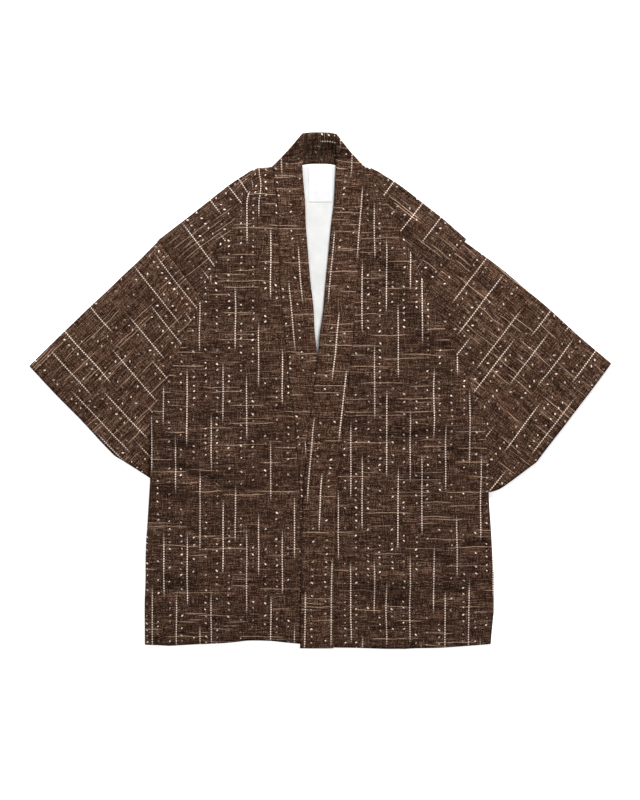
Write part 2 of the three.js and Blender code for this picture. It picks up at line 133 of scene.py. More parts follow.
# The wearer's right, at -X. Its band and front pass under the other side's.
RIGHT = {
    "name": "right",
    "mirror": -1,
    "pivot": (0.104, 0.368),
    "crease_end": (0.277, -0.040),
    "turn": math.radians(37),
    "neck_corner": (0.079, 0.3705),
    "shoulder_falls": 2,
    "edge": {
        "up": [0.372, 0.140, -0.040, -0.150, -0.245, -0.341, -0.430],
        "out": [0.308, 0.306, 0.277, 0.2795, 0.286, 0.289, 0.289],
    },
    "hem": {
        "out": [-0.030, 0.060, 0.120, 0.190, 0.250, 0.290],
        "up": [-0.413, -0.412, -0.411, -0.417, -0.420, -0.417],
    },
    "band": {
        "up": [0.3705, 0.293, 0.212, 0.159, 0.111, 0.060, 0.009, -0.050, -0.138, -0.278, -0.420],
        "outer": [0.079, 0.070, 0.067, 0.0645, 0.060, 0.0555, 0.051, 0.0425, 0.035, 0.032, 0.0315],
        "inner": [0.029, 0.024, 0.018, 0.013, 0.0095, 0.004, 0.0005, -0.008, -0.0155, -0.0195, -0.0205],
    },
    "band_rest": {
        "up": [0.375, 0.038, -0.030, -0.420],
        "rise": [BAND_LAYER, BAND_LAYER, LAYER, LAYER],
    },
    "band_end": -0.417,
    "sleeve": {
        "tip": (0.480, 0.042),
        "cuff_fall": math.radians(46),
        "inner_depth": 0.250,
        "outer_depth": 0.320,
        "slant": math.radians(14.5),
        "drop": 0.002,
        "bow": 0.0,
    },
    "tuck_ridge": {
        "along": [0.000, 0.050, 0.100, 0.150, 0.205, 0.265, 0.330, 0.400, 0.445],
        "rise": [0.0000, 0.0014, 0.0026, 0.0044, 0.0040, 0.0022, 0.0018, 0.0030, 0.0024],
    },
}

# The wearer's left, at +X. Its band lies on the other one below the neck opening.
LEFT = {
    "name": "left",
    "mirror": 1,
    "pivot": (0.086, 0.368),
    "crease_end": (0.269, -0.040),
    "turn": math.radians(38),
    "neck_corner": (0.0767, 0.368),
    "shoulder_falls": 1,
    "edge": {
        "up": [0.367, 0.160, -0.040, -0.150, -0.220, -0.300, -0.364, -0.430],
        "out": [0.281, 0.280, 0.269, 0.277, 0.2805, 0.2855, 0.2855, 0.281],
    },
    "hem": {
        "out": [0.020, 0.075, 0.140, 0.207, 0.255, 0.283],
        "up": [-0.421, -0.423, -0.425, -0.4215, -0.418, -0.4165],
    },
    "band": {
        "up": [0.368, 0.304, 0.182, 0.101, 0.060, 0.007, -0.063, -0.118, -0.166, -0.278, -0.430],
        "outer": [0.0767, 0.072, 0.061, 0.055, 0.052, 0.045, 0.037, 0.032, 0.027, 0.024, 0.0215],
        "inner": [0.0267, 0.022, 0.010, 0.001, -0.0025, -0.0095, -0.0195, -0.0235, -0.0275, -0.0305, -0.033],
    },
    "band_rest": {
        "up": [0.375, 0.175, 0.080, 0.038, -0.030, -0.430],
        "rise": [BAND_LAYER, BAND_LAYER, TWO_BANDS, TWO_BANDS, BAND_OVER_CLOTH, BAND_OVER_CLOTH],
    },
    "band_end": -0.4225,
    "sleeve": {
        "tip": (0.480, 0.047),
        "cuff_fall": math.radians(53),
        "inner_depth": 0.225,
        "outer_depth": 0.320,
        "slant": math.radians(16.8),
        "drop": 0.0005,
        "bow": 0.0045,
    },
    "tuck_ridge": {
        "along": [0.000, 0.060, 0.110, 0.165, 0.230, 0.290, 0.360, 0.445],
        "rise": [0.0000, 0.0012, 0.0020, 0.0042, 0.0038, 0.0020, 0.0014, 0.0018],
    },
}

# Creases, listed in millimetres of the side's own frame. Each runs from a first point to a
# last one, bows sideways in its middle, and is a ridge where it rises and a trough where it falls.
CREASE_COLUMNS = ("out", "up", "last_out", "last_up", "bow", "width", "rise")
SLEEVE_CREASES = {
    "right": [
        (268, 194, 204, 141, 4, 9, -2.8),
        (280, 168, 224, 120, 4, 14, 2.2),
        (302, 20, 284, -64, -3, 9, -2.8),
        (372, 152, 292, 104, 4, 16, 1.8),
        (300, 104, 258, 62, 2, 10, -1.8),
        (428, -12, 352, -70, 3, 13, -1.6),
    ],
    "left": [
        (284, -36, 288, -116, 2, 9, -3),
        (196, 102, 264, 28, 3, 9, -2.6),
        (236, 208, 284, 160, 3, 10, -2.4),
        (304, -14, 318, -86, 2, 13, 2),
        (300, 96, 372, 34, 4, 15, 1.8),
        (352, 30, 420, -30, 3, 12, -1.6),
    ],
}
FRONT_CREASES = {
    "right": [
        (128, 205, 150, 45, 4, 12, -2.7),
        (262, -90, 196, -98, 3, 9, -3.4),
        (270, -50, 200, -75, -4, 16, 3.1),
        (262, -119, 152, -166, 4, 9, -4.1),
        (190, -110, 135, -104, 0, 17, 2.7),
        (250, -145, 175, -178, 2, 13, 2.4),
        (146, -172, 85, -163, 3, 10, -2.6),
        (266, -171, 222, -188, 3, 12, -3.4),
        (88, -194, 142, -206, -4, 12, -3.1),
        (140, -206, 200, -330, 10, 12, -2.9),
        (170, -222, 220, -300, 6, 17, 2.6),
        (276, -283, 214, -303, -3, 14, 2.2),
        (262, -322, 202, -334, -3, 14, -3.1),
        (180, -345, 90, -350, 4, 18, 1.7),
    ],
    "left": [
        (112, 212, 109, 155, 2, 10, -2.4),
        (150, 170, 196, 70, 6, 18, 2),
        (180, 86, 240, 34, -3, 9, -2.9),
        (78, -82, 206, -78, 4, 12, -3.2),
        (180, -48, 262, -52, 3, 16, 2.2),
        (206, -80, 196, -150, -16, 10, -2.9),
        (156, -108, 180, -138, 0, 18, 3.7),
        (139, -136, 155, -214, 5, 12, -3.1),
        (176, -262, 184, -300, 0, 12, -2.2),
        (200, -252, 222, -272, 0, 18, 2.6),
        (164, -329, 260, -322, 3, 12, -3.2),
        (236, -257, 270, -249, 2, 10, -2.4),
        (48, -304, 166, -316, -3, 14, 2.2),
        (32, -326, 158, -356, 4, 13, -2),
        (60, -395, 120, -398, 0, 12, -1.7),
    ],
}
SHOULDER_CREASES = {
    "right": [
        (258, 187, 208, 148, 2, 10, -2.2),
        (146, 318, 190, 262, 3, 16, 2),
        (235, 222, 286, 120, 4, 18, 2),
    ],
    "left": [
        (106, 338, 172, 284, -4, 12, -2),
        (217, 178, 270, 160, 3, 12, -2.2),
        (150, 262, 230, 206, -3, 18, 2),
    ],
}
BACK_CREASES = [
    (262, -110, 150, -158, 4, 12, 0.8),
    (60, -230, 150, -262, 4, 13, 0.8),
    (250, -300, 180, -322, -3, 13, 0.8),
    (120, 160, 150, 30, 5, 14, 0.8),
    (30, 60, 40, -80, 4, 16, 0.6),
]

# How each panel's neck and hem differ from the front's outline, and how finely it is divided
FRONT_CUT = dict(neck_drop=0.002, hem_shorter=0.0, body_rows=176, inner_columns=16, outer_columns=76)
BACK_CUT = dict(neck_drop=0.0009, hem_shorter=0.003, body_rows=90, inner_columns=10, outer_columns=44)
FOLD_STEPS = 4
TUCK_ROWS = 20
SHOULDER_ROWS = 34
SLEEVE_ROWS = 74
SLEEVE_COLUMNS = 60
BAND_ROW = 0.004
BAND_COLUMNS = 14
LINING_DIVISIONS = (84, 30)
LABEL_DIVISIONS = (24, 16)

# Half of the cloth that goes round a fold
TURN_HALF = math.pi * LAYER / 4
BAND_TURN_HALF = math.pi * BAND_LAYER / 4


# Numbers over arrays of cut points


def lerp(a, b, share):
    return a + (b - a) * share


def smoothstep(x, low, high):
    share = np.clip((x - low) / (high - low), 0, 1)
    return share * share * (3 - 2 * share)


def read_table(table, key, column, at, eased=False):
    """Reads a column of a table between its rows, straight or eased."""
    order = np.argsort(table[key])
    keys = np.array(table[key])[order]
    values = np.array(table[column])[order]
    if not eased:
        return np.interp(at, keys, values)
    row = np.clip(np.searchsorted(keys, at) - 1, 0, len(keys) - 2)
    return lerp(values[row], values[row + 1], smoothstep(at, keys[row], keys[row + 1]))


def soft_noise(across, along, size_across, size_along, seed):
    """Smooth bumps from -1 to 1, about one to a cell of the given size."""
    cells = 96
    heights = np.random.default_rng(seed).uniform(-1, 1, (cells, cells))
    x = across / size_across + cells / 2
    y = along / size_along + cells / 2
    column, row = np.floor(x).astype(int), np.floor(y).astype(int)
    share_x, share_y = smoothstep(x - column, 0, 1), smoothstep(y - row, 0, 1)
    column, row = column % cells, row % cells
    right, above = (column + 1) % cells, (row + 1) % cells
    lower = lerp(heights[row, column], heights[row, right], share_x)
    upper = lerp(heights[above, column], heights[above, right], share_x)
    return lerp(lower, upper, share_y)


def ripples(table, across, along, seed):
    """Height of soft ripples, a row of the table for each kind."""
    return sum(
        height * soft_noise(across, along, *size, seed + row)
        for row, (height, *size) in enumerate(table)
    )


def cover(out, up, outline, reach, ease):
    """1 over a convex outline and out to `reach` past it, easing to 0 over `ease` more."""
    outside = np.full(np.shape(out), -np.inf)
    for (a_out, a_up), (b_out, b_up) in zip(outline, outline[1:] + outline[:1]):
        length = math.hypot(b_out - a_out, b_up - a_up)
        across = ((b_up - a_up) * (out - a_out) - (b_out - a_out) * (up - a_up)) / length
        outside = np.maximum(outside, across)
    return 1 - smoothstep(outside, reach, reach + ease)


def turn_over(past, layer):
    """Cloth turned right over an edge, cut to reach `past` it: where it reaches and how far under."""
    radius = layer / 2
    half = math.pi * radius / 2
    around = (np.clip(past, -half, half) + half) / radius
    reach = -half + radius * np.sin(around)
    under = (1 - np.cos(around)) / 2
    return np.where(past <= -half, past, np.where(past >= half, -past, reach)), under


def crease_relief(creases, out, up):
    """Height of the listed ridges and troughs, each fading out at both ends."""
    height = np.zeros(np.shape(out))
    for crease in creases:
        row = {column: value * MM for column, value in zip(CREASE_COLUMNS, crease)}
        run_out, run_up = row["last_out"] - row["out"], row["last_up"] - row["up"]
        length = math.hypot(run_out, run_up)
        from_out, from_up = out - row["out"], up - row["up"]
        share = (from_out * run_out + from_up * run_up) / length**2
        bow = row["bow"] * 4 * share * (1 - share)
        across = (from_out * run_up - from_up * run_out) / length - bow
        starts = smoothstep(share, -CREASE_END / 2, CREASE_END)
        fade = starts * (1 - smoothstep(share, 1 - CREASE_END, 1 + CREASE_END / 2))
        height += row["rise"] * fade * np.exp(-((across / row["width"]) ** 2))
    return height


def tuck_angles(side):
    """Directions of the tuck's two creases from its pivot: 0 is straight down the garment."""
    (pivot_out, pivot_up), (end_out, end_up) = side["pivot"], side["crease_end"]
    first = math.atan2(end_out - pivot_out, pivot_up - end_up)
    return first, first + side["turn"] / 2


def to_pivot(side, cut_out, cut_up):
    """Distance and direction of points from the pivot."""
    d_out, d_up = cut_out - side["pivot"][0], cut_up - side["pivot"][1]
    return np.hypot(d_out, d_up), np.arctan2(d_out, -d_up)


def from_pivot(side, along, across, angle):
    """The point `along` a direction from the pivot and `across` it."""
    out = side["pivot"][0] + along * np.sin(angle) + across * np.cos(angle)
    up = side["pivot"][1] - along * np.cos(angle) + across * np.sin(angle)
    return out, up


def lay_body(side, cut_out, cut_up):
    """Takes points of the flat cut to their place in the laid jacket: out, up, how many folds they
    lie under, and how fully the tuck is folded there."""
    radius, angle = to_pivot(side, cut_out, cut_up)
    first, second = tuck_angles(side)

    reach, first_under = turn_over(radius * np.sin(angle - first), LAYER)
    near = from_pivot(side, radius * np.cos(angle - first), reach, first)
    reach, second_under = turn_over(radius * np.sin(angle - second), LAYER)
    far = from_pivot(side, radius * np.cos(angle - second), -reach, 2 * first - second)
    before = angle < (first + second) / 2
    folded = [np.where(before, a, b) for a, b in zip(near, far)]
    under = np.where(before, first_under, 1 + second_under)

    squeeze = (SHOULDER_ANGLE - side["turn"] - EASED_FROM) / (SHOULDER_ANGLE - EASED_FROM)
    eased_angle = np.where(angle < EASED_FROM, angle, EASED_FROM + (angle - EASED_FROM) * squeeze)
    eased = from_pivot(side, radius, 0, eased_angle)
    share = smoothstep(radius, TUCK_STARTS_AT, TUCK_FULL_WIDTH_AT)
    out, up = (lerp(a, b, share) for a, b in zip(eased, folded))
    return out, up, under, smoothstep(radius, 0, TUCK_FULL_HEIGHT_AT)


def hem_at(side, out):
    return read_table(side["hem"], "out", "up", out)


def band_edge(side, edge, up):
    return read_table(side["band"], "up", edge, up)


def below(point, angle, depth):
    """A point further down an edge that rises at an angle."""
    return point[0] - depth * np.cos(angle), point[1] - depth * np.sin(angle)


def outlines(side):
    """Where the sleeve is sewn on, and the outlines of layers that others lie over."""
    edge = side["edge"]
    top_out, top_up, _, _ = lay_body(side, np.array(edge["out"][:2]), np.array(edge["up"][:2]))
    armhole_top, armhole_end = (top_out[0], top_up[0]), (top_out[1], top_up[1])
    seam = math.atan2(
        armhole_top[1] - armhole_end[1], armhole_top[0] - armhole_end[0] - CLEAR_OF_TUCK
    )
    sleeve = side["sleeve"]
    sewn_from = below(armhole_top, seam, sleeve["drop"])
    hem_corner = (edge["out"][-1], edge["up"][-1])
    return {
        "seam": seam,
        "sewn_from": sewn_from,
        "length": math.dist(sleeve["tip"], sewn_from),
        "body": [side["pivot"], (0, OVER_NECK_UP), (0, hem_corner[1]), hem_corner, side["crease_end"]],
        "tuck": [side["pivot"], armhole_end, side["crease_end"]],
        "shoulder_and_sleeve": [
            side["pivot"],
            below(sewn_from, seam, sleeve["inner_depth"]),
            below(sleeve["tip"], sleeve["cuff_fall"], sleeve["outer_depth"]),
            sleeve["tip"],
            armhole_top,
        ],
    }


def neck_dip(side, out):
    """The neck seam dips from the middle of the back to the corner where the band turns over."""
    return (NECK_UP - side["neck_corner"][1]) * smoothstep(out, *NECK_CURVE)


def band_rest(side, up):
    """How high the band's underside lies."""
    return read_table(side["band_rest"], "up", "rise", up, eased=True)


def edge_lift(side, out, up):
    """How far the front rises to where its band lies."""
    from_band = out - band_edge(side, "outer", up)
    return (band_rest(side, up) - LAYER) * (1 - smoothstep(from_band, 0, COLLAR_EASE))


def settle(height):
    """Relief that can't sink into the cloth below."""
    return np.maximum(height, LOWEST_RELIEF)


def placed(side, out, up, height):
    """World points, with the slight wander that all the layers share."""
    x = side["mirror"] * out
    wander_x, wander_y = (
        THREAD_WANDER * soft_noise(x, up, *cell, FIRST_SEEDS["wander"] + row)
        for row, cell in enumerate(WANDER_CELLS)
    )
    return np.stack([x + wander_x, up + wander_y, height], axis=-1)


def from_cut_edge(side, cut_out, cut_up):
    """Distance of a body panel's point from its side, armhole and shoulder edges."""
    from_side = read_table(side["edge"], "up", "out", cut_up) - cut_out
    radius, angle = to_pivot(side, cut_out, cut_up)
    from_shoulder = np.where(angle > 0, radius * (SHOULDER_ANGLE - angle), np.inf)
    return np.minimum(from_side, from_shoulder)


def back_surface(side):
    shape = outlines(side)

    def surface(cut_out, cut_up):
        out, up, under, full = lay_body(side, cut_out, cut_up)
        over_back = full * cover(out, up, shape["body"], **LOWER_EASE)
        roll = 1 - smoothstep(from_cut_edge(side, cut_out, cut_up), 0, EDGE_ROLL_WIDTH)
        rise = crease_relief(BACK_CREASES, out, up) * (1 - over_back * np.minimum(under, 1))
        height = CLOTH / 2 + LAYER * under * over_back + rise + roll * EDGE_ROLL / 2
        return placed(side, out, up, height)

    return surface


def front_surface(side):
    shape = outlines(side)
    first, _ = tuck_angles(side)
    name = side["name"]
    seed = FIRST_SEEDS[f"front_{name}"]

    def surface(cut_out, cut_up):
        out, up, under, full = lay_body(side, cut_out, cut_up)
        over_back = full * cover(out, up, shape["body"], **LOWER_EASE)
        hidden = cover(out, up, shape["shoulder_and_sleeve"], **UPPER_EASE)
        hidden += cover(out, up, shape["tuck"], **UPPER_EASE)
        over_sleeve = 1 + 2 * full * hidden
        tucked = 1 + 2 * over_back + (2 - under) * full
        layers = np.where(under > 0, tucked, over_sleeve)
        height = CLOTH / 2 + LAYER * layers + edge_lift(side, out, up)

        d_out, d_up = out - side["pivot"][0], up - side["pivot"][1]
        along_tuck = d_out * math.sin(first) - d_up * math.cos(first)
        from_tuck = d_out * math.cos(first) + d_up * math.sin(first)
        ridge = read_table(side["tuck_ridge"], "along", "rise", along_tuck, eased=True)
        ridge *= np.exp(-(((from_tuck + TUCK_RIDGE_INSIDE) / TUCK_RIDGE_WIDTH) ** 2))
        ridge *= 1 - np.minimum(under, 1)
        from_band = np.maximum(out - band_edge(side, "outer", up), 0)

        from_edge = from_cut_edge(side, cut_out, cut_up)
        from_hem = cut_up - hem_at(side, cut_out)
        from_rim = np.minimum(np.minimum(from_edge, from_hem), from_band)
        inside = smoothstep(from_rim, 0, PUFF_FROM_EDGE)
        varies = PUFF_VARIES * soft_noise(cut_out, cut_up, *PUFF_CELL, seed)
        relief = PUFF * inside * (1 + varies) + ripples(FRONT_RIPPLES, cut_out, cut_up, seed + 1)
        body_part = np.clip(1 - under, 0, 1)
        tuck_over = cover(out, up, shape["tuck"], **TUCK_HIDES)
        shoulder_part = np.clip(under - 1, 0, 1) * (1 - tuck_over)
        relief_seen = body_part + shoulder_part
        relief += crease_relief(FRONT_CREASES[name], out, up) * body_part
        relief += crease_relief(SHOULDER_CREASES[name], out, up) * shoulder_part
        roll = 1 - smoothstep(from_edge, 0, EDGE_ROLL_WIDTH)
        at_band = (1 - smoothstep(from_band, 0, SEAM_EASE)) * body_part
        height = lerp(height, band_rest(side, up) + BAND - SHOWN_CLOTH / 2, at_band)
        height += settle(relief) * relief_seen + ridge - roll * EDGE_ROLL
        return placed(side, out, up, height)

    return surface


# Scales share * (1 - share) ** 2 to a height of 1
BOW_SCALE = 6.75


def sleeve_surface(side):
    shape = outlines(side)
    sleeve = side["sleeve"]
    name = side["name"]
    seed = FIRST_SEEDS[f"sleeve_{name}"]

    def surface(along, depth):
        reach, under = turn_over(depth, LAYER)
        share = along / shape["length"]
        bow = sleeve["bow"] * BOW_SCALE * share * (1 - share) ** 2
        down = -reach - bow * (1 - smoothstep(-reach, 0, CUFF))
        inner = below(shape["sewn_from"], shape["seam"], down)
        outer = below(sleeve["tip"], sleeve["cuff_fall"], down)
        out = lerp(inner[0] - ARMHOLE_LAP * math.sin(shape["seam"]), outer[0], share)
        up = lerp(inner[1] + ARMHOLE_LAP * math.cos(shape["seam"]), outer[1], share)
        over_body = cover(out, up, shape["body"], **LOWER_EASE)
        over_tuck = cover(out, up, shape["tuck"], **LOWER_EASE)
        height = CLOTH / 2 + LAYER * (over_body + over_tuck + 1 - under)

        hidden = cover(out, up, shape["body"], **BODY_HIDES)
        relief = SLEEVE_PUFF * smoothstep(np.abs(depth), 0, SLEEVE_PUFF_FROM_FOLD)
        relief += ripples(SLEEVE_RIPPLES, along, depth, seed)
        relief += crease_relief(SLEEVE_CREASES[name], out, up)
        at_seam = 1 - smoothstep(along, 0, EDGE_ROLL_WIDTH)
        height += (settle(relief) * (1 - hidden) - at_seam * EDGE_ROLL) * (1 - under)
        return placed(side, out, up, height)

    return surface


def band_surface(side):
    """The band runs out from the middle of the neck, turns over a slanted edge and comes down."""
    corner, corner_up = side["neck_corner"]
    seed = FIRST_SEEDS[f"collar_{side['name']}"]
    root_half = math.sqrt(0.5)

    def surface(along, width):
        reach, under = turn_over((along - corner + width) * root_half, BAND_LAYER)
        edgewise = (along - corner - width) * root_half
        out = corner + (edgewise + reach) * root_half
        rise = (reach - edgewise) * root_half
        above_corner = np.where(rise < 0, 0, NECK_UP - corner_up - neck_dip(side, out))
        up = corner_up + rise + above_corner
        down = lerp(band_edge(side, "outer", up), band_edge(side, "inner", up), width / BAND_WIDTH)
        out = np.where(rise < 0, down, out)
        height = BAND / 2 + under * band_rest(side, up)

        across = np.abs(2 * width / BAND_WIDTH - 1)
        height += BAND_CROWN * (1 - across**4) * under
        rippled = smoothstep(-rise, 0, BAND_RIPPLES_FROM_NECK)
        height += ripples(BAND_RIPPLES, width, along, seed) * rippled
        at_neck = 1 - smoothstep(out, NECK_STANDS_OUT_TO, corner + NECK_STANDS_PAST_CORNER)
        height += NECK_STANDS * smoothstep(rise, NECK_STANDS_FROM, BAND_WIDTH) * at_neck
        return placed(side, out, up, height)

    return surface


# Flat cuts


def grid_faces(rows, columns):
    corner = (np.arange(rows - 1)[:, None] * columns + np.arange(columns - 1)).ravel()
    return np.stack([corner, corner + 1, corner + columns + 1, corner + columns], axis=1)


def to_edge(side, angle):
    """Distance from the pivot to the edge of the cut, in each of the directions."""
    points = np.array([side["edge"]["out"], side["edge"]["up"]]).T - side["pivot"]
    directions = np.arctan2(points[:, 0], -points[:, 1])
    result = np.full(np.shape(angle), np.hypot(*points[0]))
    for a, b, from_angle, to_angle in zip(points, points[1:], directions, directions[1:]):
        between = (angle <= from_angle) & (angle >= to_angle)
        ray = np.array([np.sin(angle), -np.cos(angle)])
        side_a = ray[0] * a[1] - ray[1] * a[0]
        side_b = ray[0] * b[1] - ray[1] * b[0]
        share = side_a / np.where(side_a == side_b, 1, side_a - side_b)
        met = np.hypot(lerp(a[0], b[0], share), lerp(a[1], b[1], share))
        result = np.where(between, met, result)
    return result


def shoulder_round(side, share):
    """How far the shoulder edge rises between the tuck's top and the sleeve."""
    falls = side["shoulder_falls"]
    highest = 1 / (1 + 2 * falls)
    round_at = [math.sqrt(highest) * (1 - highest) ** falls, np.sqrt(share) * (1 - share) ** falls]
    return SHOULDER_ROUND * round_at[1] / round_at[0]


def panel_cut(side, inner_out, neck_drop, hem_shorter, body_rows, inner_columns, outer_columns):
    """Points and faces of a body panel's flat cut: rows across the body up to the tuck's crease,
    then rows that fan about its pivot to the shoulder."""
    pivot_out, pivot_up = side["pivot"]
    first, second = tuck_angles(side)
    share = np.arange(body_rows)[:, None] / body_rows
    inner_up = lerp(HEM_UP, NECK_UP, share)
    inner = inner_out(inner_up), inner_up

    def hem_up(out):
        return hem_at(side, out) + hem_shorter

    knee = lerp(KNEE_OUT, pivot_out, share), lerp(hem_up(KNEE_OUT), pivot_up, share)
    outer_up = lerp(hem_up(side["hem"]["out"][-1]), side["crease_end"][1], share)
    outer = read_table(side["edge"], "up", "out", outer_up), outer_up
    across = np.arange(inner_columns + 1) / inner_columns
    inner_part = [lerp(a, b, across) for a, b in zip(inner, knee)]
    across = np.arange(1, outer_columns + 1) / outer_columns
    outer_part = [lerp(a, b, across) for a, b in zip(knee, outer)]
    body = [np.hstack([a, b]) for a, b in zip(inner_part, outer_part)]
    body[1][0] = hem_up(body[0][0])

    neck_out = lerp(inner_out(NECK_UP), pivot_out, np.arange(inner_columns + 1) / inner_columns)
    neck_line = NECK_UP - neck_drop - neck_dip(side, neck_out)
    neck_line = lerp(neck_line, pivot_up, smoothstep(neck_out, NECK_TO_CREASE, pivot_out))
    radius_share = across[None, :]

    fold = np.linspace(-TURN_HALF, TURN_HALF, FOLD_STEPS + 1)
    turns = [("first", past) for past in fold]
    turns += [("between", i / TUCK_ROWS) for i in range(1, TUCK_ROWS)]
    turns += [("second", past) for past in fold]
    turns += [("shoulder", i / SHOULDER_ROWS) for i in range(1, SHOULDER_ROWS + 1)]
    fan_out, fan_up = [], []
    for kind, value in turns:
        start = {
            "first": first,
            "between": lerp(first, second, value),
            "second": second,
            "shoulder": lerp(second, SHOULDER_ANGLE, value),
        }[kind]
        radius = to_edge(side, np.full((1, 1), start)) * radius_share
        length = radius[0, -1]
        shrink = np.maximum(radius, TIGHTEST_TURN_AT)
        if kind in ("first", "second"):
            angle = start + value / shrink
        elif kind == "between":
            angle = lerp(first + TURN_HALF / shrink, second - TURN_HALF / shrink, value)
        else:
            round_off = shoulder_round(side, radius / length) / shrink
            angle = lerp(second + TURN_HALF / shrink, SHOULDER_ANGLE + round_off, value)
        radius = to_edge(side, angle[:, -1:]) * radius_share
        fan_out.append(pivot_out + radius * np.sin(angle))
        fan_up.append(pivot_up - radius * np.cos(angle))
    fan = np.vstack(fan_out), np.vstack(fan_up)

    top = [np.hstack([neck_out, fan[0][0]]), np.hstack([neck_line, fan[1][0]])]
    parts = [[a.ravel() for a in body], top, [a[1:].ravel() for a in fan]]
    points = np.vstack([np.stack(part, axis=1) for part in parts])
    width = inner_columns + 1 + outer_columns
    faces = grid_faces(body_rows + 1, width).tolist()
    pivot = body_rows * width + inner_columns
    rows = [np.arange(outer_columns) + pivot + 1]
    rows += [
        np.arange(outer_columns) + (body_rows + 1) * width + i * outer_columns
        for i in range(len(turns) - 1)
    ]
    for low, high in zip(rows, rows[1:]):
        faces.append([pivot, low[0], high[0]])
        faces += np.stack([low[:-1], low[1:], high[1:], high[:-1]], axis=1).tolist()
    return points, faces


def sleeve_cut(side):
    """Flat cut of a sleeve, from the lower edge of its back over the folded top to that of its front."""
    sleeve = side["sleeve"]
    outer_depth = sleeve["outer_depth"]
    turn = TURN_HALF / outer_depth
    half = np.linspace(turn, 1, SLEEVE_ROWS)
    fold = np.linspace(-turn, turn, FOLD_STEPS + 1)[1:-1]
    rows = np.concatenate([-half[::-1], fold, half])[:, None]
    down = np.abs(rows) * outer_depth
    reach = outlines(side)["length"] - np.maximum(0, down - CUFF) * math.tan(sleeve["slant"])
    into_corner = np.maximum(0, down - (outer_depth - SLEEVE_CORNER))
    reach = reach - (SLEEVE_CORNER - np.sqrt(SLEEVE_CORNER**2 - into_corner**2))
    share = np.arange(SLEEVE_COLUMNS + 1)[None, :] / SLEEVE_COLUMNS
    near_fold = smoothstep(np.abs(rows), turn, SLEEVE_NEAR_FOLD)
    depth = lerp(outer_depth, lerp(sleeve["inner_depth"], outer_depth, share), near_fold)
    points = np.stack([(share * reach).ravel(), (rows * depth).ravel()], axis=1)
    return points, grid_faces(len(rows), SLEEVE_COLUMNS + 1).tolist()


def band_cut(side):
    corner, corner_up = side["neck_corner"]
    end = corner + corner_up - side["band_end"]
    width = np.arange(BAND_COLUMNS + 1)[None, :] / BAND_COLUMNS * BAND_WIDTH
    neck = np.linspace(0, 1, round(corner / BAND_ROW), endpoint=False)[:, None]
    slanted = corner - width - BAND_TURN_HALF * math.sqrt(2)
    turned = corner - width + BAND_TURN_HALF * math.sqrt(2)
    turn = np.linspace(0, 1, FOLD_STEPS + 2, endpoint=False)[:, None]
    down = np.linspace(0, 1, round((end - corner) / BAND_ROW))[:, None]
    along = np.vstack([lerp(GAP / 2, slanted, neck), lerp(slanted, turned, turn), lerp(turned, end, down)])
    points = np.stack([along.ravel(), np.broadcast_to(width, along.shape).ravel()], axis=1)
    return points, grid_faces(len(along), BAND_COLUMNS + 1).tolist()


def patch_cut(top_line, low_up, top_half, low_half, rows, columns):
    """Flat patch with straight sides, narrower or not at its foot. Its top follows a line."""
    share = np.arange(rows + 1)[:, None] / rows
    across = np.arange(columns + 1)[None, :] / columns
    half = lerp(low_half, top_half, share)
    out = lerp(-half, half, across)
    up = lerp(low_up, top_line(out), share)
    return np.stack([out.ravel(), up.ravel()], axis=1), grid_faces(rows + 1, columns + 1).tolist()


# Shells


def corner_normals(middle, faces):
    normals = np.zeros_like(middle)
    for size in (3, 4):
        ring = np.array([face for face in faces if len(face) == size])
        if not len(ring):
            continue
        last = ring[:, -1]
        first_diagonal = middle[ring[:, 2]] - middle[ring[:, 0]]
        second_diagonal = middle[last] - middle[ring[:, 1]]
        if size == 3:
            second_diagonal = middle[ring[:, 0]] - middle[ring[:, 1]]
            first_diagonal = -first_diagonal
        normal = np.cross(first_diagonal, second_diagonal)
        for column in range(size):
            np.add.at(normals, ring[:, column], normal)
    return normals / np.linalg.norm(normals, axis=1, keepdims=True)


RIM_OUT = 0.145 * MM
RIM_THINNER = 0.7


